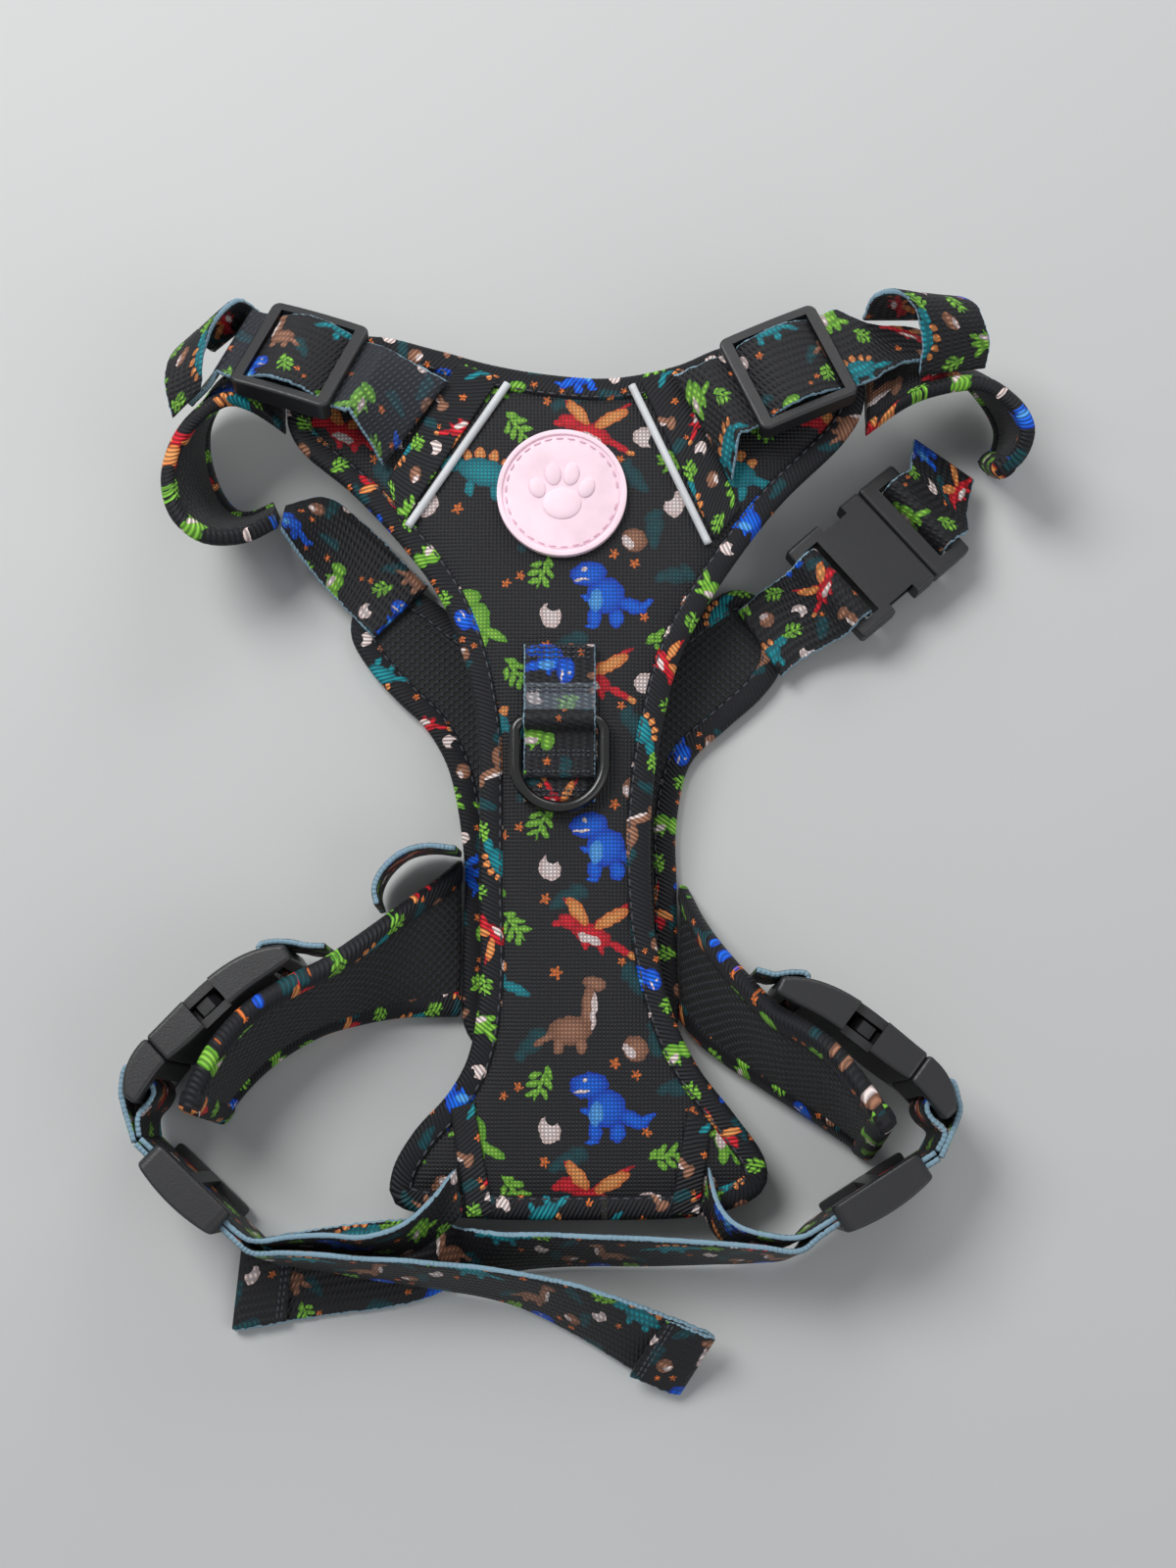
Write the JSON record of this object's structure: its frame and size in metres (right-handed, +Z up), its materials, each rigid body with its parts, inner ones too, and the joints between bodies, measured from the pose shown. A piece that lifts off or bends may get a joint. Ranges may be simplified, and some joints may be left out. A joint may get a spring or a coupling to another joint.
{
  "type": "no pull dog harness",
  "caption": "Padded vest-style dog harness lying flat: back and chest panels, curled neck pads, adjustable straps, side release buckles and a leash ring.",
  "frame": {"origin": "under the middle of the whole harness, on the plane its chest panel lies on", "axes": "+Z up from the chest panel to the back panel, +Y towards the neck end, +X towards the harness's right as it is seen from above with the neck end up"},
  "size_m": [0.249, 0.3034, 0.0457],
  "materials": {
    "ring_metal": "glossy black coating",
    "printed_fabric": "printed woven Oxford cloth over foam",
    "printed_binding": "printed ribbed binding tape",
    "spacer_mesh": "black knitted spacer mesh",
    "badge_rubber": "soft pale pink rubber",
    "moulded_plastic": "fine grained black",
    "printed_webbing": "printed polyester webbing with pale blue edges",
    "reflective_cord": "pale grey reflective piping"
  },
  "bodies": {
    "root": {"back_panel": "printed_fabric", "back_panel_binding": "printed_binding", "back_panel_lining": "spacer_mesh", "badge": "badge_rubber", "belly_buckle_left_female": "moulded_plastic", "belly_buckle_right_female": "moulded_plastic", "belly_link_left": "printed_webbing", "belly_link_right": "printed_webbing", "belly_pad_binding_left": "printed_binding", "belly_pad_binding_right": "printed_binding", "belly_pad_left": "printed_fabric", "belly_pad_lining_left": "spacer_mesh", "belly_pad_lining_right": "spacer_mesh", "belly_pad_right": "printed_fabric", "belly_strap_left": "printed_webbing", "belly_strap_right": "printed_webbing", "belly_tail_left": "printed_webbing", "belly_tail_right": "printed_webbing", "chest_panel": "printed_fabric", "chest_panel_binding": "printed_binding", "chest_panel_lining": "spacer_mesh", "front_loop": "printed_webbing", "keeper_left": "printed_webbing", "keeper_right": "printed_webbing", "leash_tab": "printed_webbing", "neck_buckle_male": "moulded_plastic", "neck_link_left": "printed_webbing", "neck_link_right_lower": "printed_webbing", "neck_link_right_upper": "printed_webbing", "neck_pad_binding_left": "printed_binding", "neck_pad_binding_right": "printed_binding", "neck_pad_left": "printed_fabric", "neck_pad_lining_left": "spacer_mesh", "neck_pad_lining_right": "spacer_mesh", "neck_pad_right": "printed_fabric", "piping": "reflective_cord", "ring_loop": "printed_webbing", "root_strips": "printed_fabric", "shoulder_strap_left": "printed_webbing", "shoulder_strap_right": "printed_webbing", "yoke_strips": "printed_fabric"},
    "back_d_ring": {"back_d_ring": "ring_metal"},
    "neck_buckle_female": {"neck_buckle_female": "moulded_plastic"},
    "neck_buckle_prong_left": {"neck_buckle_prong_left": "moulded_plastic"},
    "neck_buckle_prong_right": {"neck_buckle_prong_right": "moulded_plastic"},
    "belly_buckle_left_male": {"belly_buckle_left_male": "moulded_plastic", "belly_loop_left": "printed_webbing"},
    "belly_buckle_left_prong_lower": {"belly_buckle_left_prong_lower": "moulded_plastic"},
    "belly_buckle_left_prong_upper": {"belly_buckle_left_prong_upper": "moulded_plastic"},
    "shoulder_slider_left": {"shoulder_slider_left": "moulded_plastic"},
    "belly_slider_left": {"belly_slider_left": "moulded_plastic"},
    "belly_buckle_right_male": {"belly_buckle_right_male": "moulded_plastic", "belly_loop_right": "printed_webbing"},
    "belly_buckle_right_prong_lower": {"belly_buckle_right_prong_lower": "moulded_plastic"},
    "belly_buckle_right_prong_upper": {"belly_buckle_right_prong_upper": "moulded_plastic"},
    "shoulder_slider_right": {"shoulder_slider_right": "moulded_plastic"},
    "belly_slider_right": {"belly_slider_right": "moulded_plastic"}
  },
  "joints": [
    {"name": "d_ring_swing", "type": "hinge", "parent": "root", "child": "back_d_ring", "pos_m": [-0.00857, 0.02951, 0.02495], "axis": [-1, 0, 0], "range_deg": [0, 150]},
    {"name": "neck_buckle_pull", "type": "slide", "parent": "root", "child": "neck_buckle_female", "axis": [-0.759, -0.651, 0], "range_m": [0, 0.02], "deforming": ["neck_link_right_lower"]},
    {"name": "neck_prong_right_press", "type": "hinge", "parent": "root", "child": "neck_buckle_prong_right", "pos_m": [0.09284, 0.07928, 0.0102], "axis": [0, 0, -1], "range_deg": [0, 7], "stiffness_Nm_per_rad": 0.02},
    {"name": "neck_prong_left_press", "type": "hinge", "parent": "root", "child": "neck_buckle_prong_left", "pos_m": [0.08139, 0.09265, 0.0102], "axis": [0, 0, 1], "range_deg": [0, 7], "stiffness_Nm_per_rad": 0.02},
    {"name": "belly_buckle_left_pull", "type": "slide", "parent": "root", "child": "belly_buckle_left_male", "axis": [-0.7219, -0.6919, 0], "range_m": [0, 0.022], "deforming": ["belly_loop_left"]},
    {"name": "belly_prong_left_lower_press", "type": "hinge", "parent": "belly_buckle_left_male", "child": "belly_buckle_left_prong_lower", "pos_m": [-0.11252, -0.06015, 0.0102], "axis": [0.6919, -0.7219, 0], "range_deg": [0, 7], "stiffness_Nm_per_rad": 0.02},
    {"name": "belly_prong_left_upper_press", "type": "hinge", "parent": "belly_buckle_left_male", "child": "belly_buckle_left_prong_upper", "pos_m": [-0.11252, -0.06015, 0.0278], "axis": [-0.6919, 0.7219, 0], "range_deg": [0, 7], "stiffness_Nm_per_rad": 0.02},
    {"name": "belly_buckle_right_pull", "type": "slide", "parent": "root", "child": "belly_buckle_right_male", "axis": [0.7953, -0.6062, 0], "range_m": [0, 0.022], "deforming": ["belly_loop_right"]},
    {"name": "belly_prong_right_lower_press", "type": "hinge", "parent": "belly_buckle_right_male", "child": "belly_buckle_right_prong_lower", "pos_m": [0.08454, -0.06502, 0.0102], "axis": [0.6062, 0.7953, 0], "range_deg": [0, 7], "stiffness_Nm_per_rad": 0.02},
    {"name": "belly_prong_right_upper_press", "type": "hinge", "parent": "belly_buckle_right_male", "child": "belly_buckle_right_prong_upper", "pos_m": [0.08454, -0.06502, 0.0278], "axis": [-0.6062, -0.7953, 0], "range_deg": [0, 7], "stiffness_Nm_per_rad": 0.02},
    {"name": "shoulder_slider_left_slide", "type": "slide", "parent": "root", "child": "shoulder_slider_left", "axis": [-0.9355, 0.332, -0.1207], "range_m": [-0.003, 0.003]},
    {"name": "belly_slider_left_slide", "type": "slide", "parent": "root", "child": "belly_slider_left", "axis": [0.7369, -0.676, 0], "range_m": [-0.004, 0.004]},
    {"name": "shoulder_slider_right_slide", "type": "slide", "parent": "root", "child": "shoulder_slider_right", "axis": [0.9161, 0.4005, -0.02], "range_m": [-0.003, 0.003]},
    {"name": "belly_slider_right_slide", "type": "slide", "parent": "root", "child": "belly_slider_right", "axis": [-0.8486, -0.5291, 0], "range_m": [-0.004, 0.004]}
  ],
  "couplings": [
    {"joint": "neck_prong_left_press", "follows": "neck_prong_right_press", "ratio": 1},
    {"joint": "belly_prong_left_upper_press", "follows": "belly_prong_left_lower_press", "ratio": 1},
    {"joint": "belly_prong_right_upper_press", "follows": "belly_prong_right_lower_press", "ratio": 1}
  ]
}
